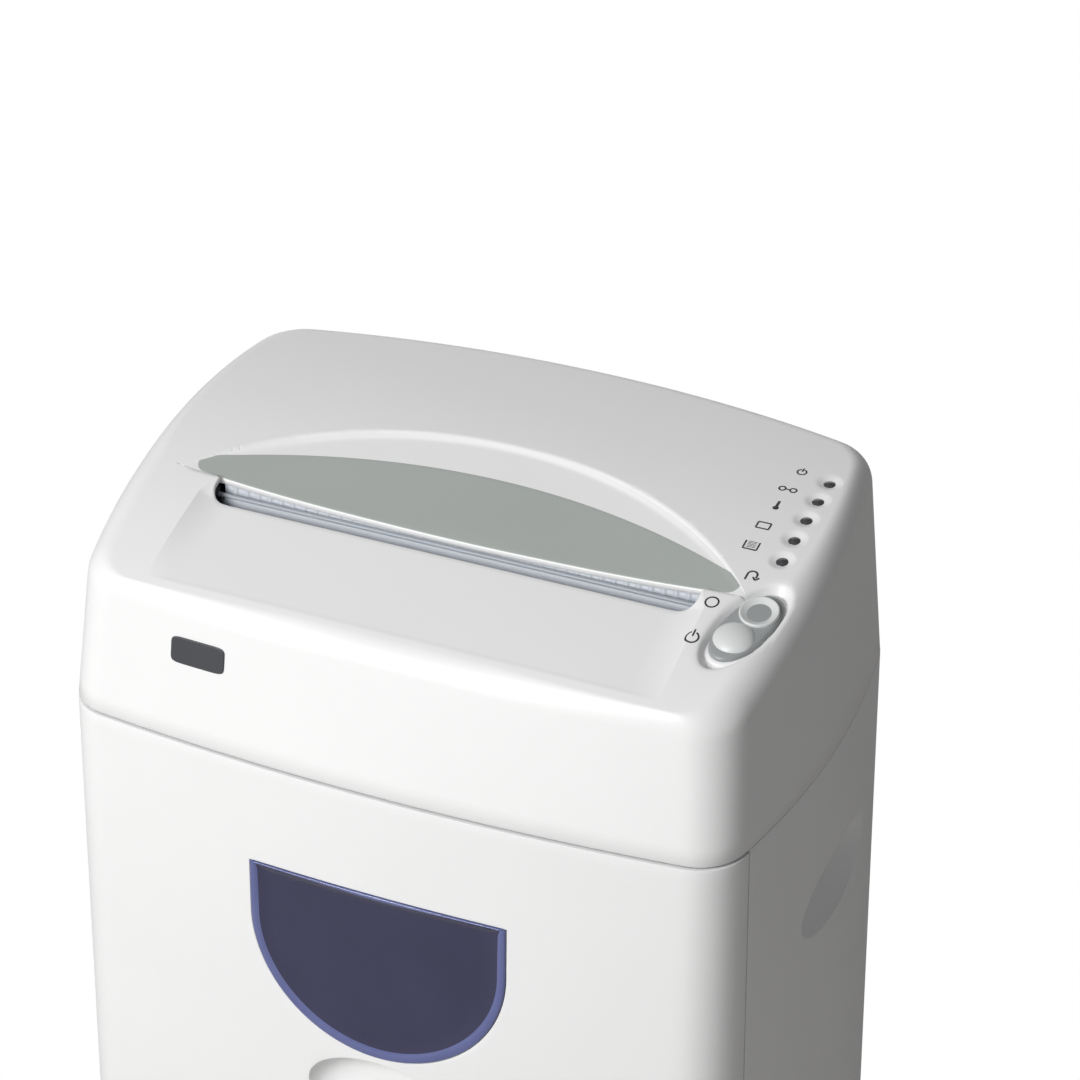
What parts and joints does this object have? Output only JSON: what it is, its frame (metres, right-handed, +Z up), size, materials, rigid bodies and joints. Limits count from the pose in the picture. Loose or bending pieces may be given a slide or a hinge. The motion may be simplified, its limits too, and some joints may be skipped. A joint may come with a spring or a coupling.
{
  "type": "paper shredder",
  "caption": "Office paper shredder with a domed cutting head, feed slot, rocker switch, pull-out bin with a tinted window, and four swivel castors.",
  "frame": {"origin": "on the floor, below the middle of the body", "axes": "+X to the user's right, +Y to the back of the machine, +Z up"},
  "size_m": [0.3588, 0.2548, 0.5365],
  "materials": {
    "body_plastic": "fine satin moulded plastic",
    "insert_grey": "smooth satin",
    "throat_grey": "smooth satin",
    "clear_flap": "clear polycarbonate",
    "dark_plastic": "fine textured black plastic",
    "switch_grey": "semi gloss",
    "steel": "zinc plated",
    "lamp_smoke": "smoked clear lens",
    "board_green": "coated circuit board",
    "badge_grey": "satin",
    "cutter_steel": "ground, lightly oiled",
    "bronze": "sintered",
    "gear_steel": "machined",
    "gear_nylon": "natural nylon",
    "motor_can": "zinc plated can",
    "window_blue": "tinted see-through polystyrene",
    "bin_grey": "moulded polypropylene",
    "castor_grey": "moulded nylon",
    "castor_tread": "soft tread"
  },
  "bodies": {
    "cabinet": {"head_housing": "body_plastic", "feed_insert": "insert_grey", "throat_front": "throat_grey", "throat_rear": "throat_grey", "flap_brackets": "dark_plastic", "slot_sensor": "dark_plastic", "switch_bezel": "body_plastic", "rocker_pin": "steel", "indicator_lamps": "lamp_smoke", "control_board": "board_green", "badge": "badge_grey", "comb_front": "dark_plastic", "comb_rear": "dark_plastic", "side_frame_left": "steel", "side_frame_right": "steel", "tie_rods": "steel", "bearings": "bronze", "compound_pin": "steel", "motor_body": "motor_can", "power_board": "board_green", "capacitor": "motor_can", "chassis_plate": "steel", "rear_plate": "dark_plastic", "power_inlet": "dark_plastic", "mains_frame": "dark_plastic", "cabinet_shell": "body_plastic", "base_plate": "dark_plastic", "rail_left": "steel", "rail_right": "steel", "frame_screws": "steel"},
    "bin_drawer": {"bin_front": "body_plastic", "window_pane": "window_blue", "window_retainer": "dark_plastic", "waste_bin": "bin_grey", "bin_carrier": "dark_plastic"},
    "flap": {"safety_flap": "clear_flap"},
    "function_rocker": {"rocker_switch": "switch_grey"},
    "mains_button": {"mains_rocker": "dark_plastic"},
    "front_cutter": {"cutter_front": "cutter_steel", "sync_gear_front": "gear_steel"},
    "rear_cutter": {"cutter_rear": "cutter_steel", "sync_gear_rear": "gear_steel", "drive_gear": "gear_steel"},
    "reduction_gear": {"compound_gear": "gear_nylon"},
    "rotor": {"motor_rotor": "steel", "motor_pinion": "gear_steel", "motor_fan": "dark_plastic"},
    "swivel_front_left": {"castor_fork_front_left": "castor_grey", "castor_axle_front_left": "steel"},
    "wheel_front_left": {"castor_wheel_front_left": "castor_tread"},
    "swivel_front_right": {"castor_fork_front_right": "castor_grey", "castor_axle_front_right": "steel"},
    "wheel_front_right": {"castor_wheel_front_right": "castor_tread"},
    "swivel_back_left": {"castor_fork_back_left": "castor_grey", "castor_axle_back_left": "steel"},
    "wheel_back_left": {"castor_wheel_back_left": "castor_tread"},
    "swivel_back_right": {"castor_fork_back_right": "castor_grey", "castor_axle_back_right": "steel"},
    "wheel_back_right": {"castor_wheel_back_right": "castor_tread"}
  },
  "joints": [
    {"name": "bin_slide", "type": "slide", "parent": "cabinet", "child": "bin_drawer", "axis": [0, -1, 0], "range_m": [0, 0.19]},
    {"name": "flap_hinge", "type": "hinge", "parent": "cabinet", "child": "flap", "pos_m": [0, -0.0362, 0.51162], "axis": [1, 0, 0], "range_deg": [0, 26], "stiffness_Nm_per_rad": 0.004},
    {"name": "function_rock", "type": "hinge", "parent": "cabinet", "child": "function_rocker", "pos_m": [0.1445, -0.04651, 0.50812], "axis": [0.9511, -0.2969, -0.0855], "range_deg": [-7, 7], "stiffness_Nm_per_rad": 0.4},
    {"name": "mains_rock", "type": "hinge", "parent": "cabinet", "child": "mains_button", "pos_m": [0.023, 0.11223, 0.46], "axis": [1, 0, 0], "range_deg": [-9, 9]},
    {"name": "rear_cutter_spin", "type": "hinge", "parent": "cabinet", "child": "rear_cutter", "pos_m": [0, -0.021, 0.462], "axis": [1, 0, 0], "continuous": true},
    {"name": "front_cutter_spin", "type": "hinge", "parent": "cabinet", "child": "front_cutter", "pos_m": [0, -0.059, 0.462], "axis": [1, 0, 0], "continuous": true},
    {"name": "reduction_spin", "type": "hinge", "parent": "cabinet", "child": "reduction_gear", "pos_m": [-0.14, 0.02125, 0.462], "axis": [1, 0, 0], "continuous": true},
    {"name": "rotor_spin", "type": "hinge", "parent": "cabinet", "child": "rotor", "pos_m": [-0.06, 0.05525, 0.462], "axis": [1, 0, 0], "continuous": true},
    {"name": "swivel_front_left_turn", "type": "hinge", "parent": "cabinet", "child": "swivel_front_left", "pos_m": [-0.126, -0.078, 0.06], "axis": [0, 0, 1], "continuous": true},
    {"name": "wheel_front_left_roll", "type": "hinge", "parent": "swivel_front_left", "child": "wheel_front_left", "pos_m": [-0.126, -0.064, 0.0225], "axis": [1, 0, 0], "continuous": true},
    {"name": "swivel_front_right_turn", "type": "hinge", "parent": "cabinet", "child": "swivel_front_right", "pos_m": [0.126, -0.078, 0.06], "axis": [0, 0, 1], "continuous": true},
    {"name": "wheel_front_right_roll", "type": "hinge", "parent": "swivel_front_right", "child": "wheel_front_right", "pos_m": [0.126, -0.064, 0.0225], "axis": [1, 0, 0], "continuous": true},
    {"name": "swivel_back_left_turn", "type": "hinge", "parent": "cabinet", "child": "swivel_back_left", "pos_m": [-0.126, 0.066, 0.06], "axis": [0, 0, 1], "continuous": true},
    {"name": "wheel_back_left_roll", "type": "hinge", "parent": "swivel_back_left", "child": "wheel_back_left", "pos_m": [-0.126, 0.08, 0.0225], "axis": [1, 0, 0], "continuous": true},
    {"name": "swivel_back_right_turn", "type": "hinge", "parent": "cabinet", "child": "swivel_back_right", "pos_m": [0.126, 0.066, 0.06], "axis": [0, 0, 1], "continuous": true},
    {"name": "wheel_back_right_roll", "type": "hinge", "parent": "swivel_back_right", "child": "wheel_back_right", "pos_m": [0.126, 0.08, 0.0225], "axis": [1, 0, 0], "continuous": true}
  ],
  "couplings": [
    {"joint": "front_cutter_spin", "follows": "rear_cutter_spin", "ratio": -1},
    {"joint": "reduction_spin", "follows": "rear_cutter_spin", "ratio": -2.5},
    {"joint": "rotor_spin", "follows": "rear_cutter_spin", "ratio": 7.1429}
  ]
}
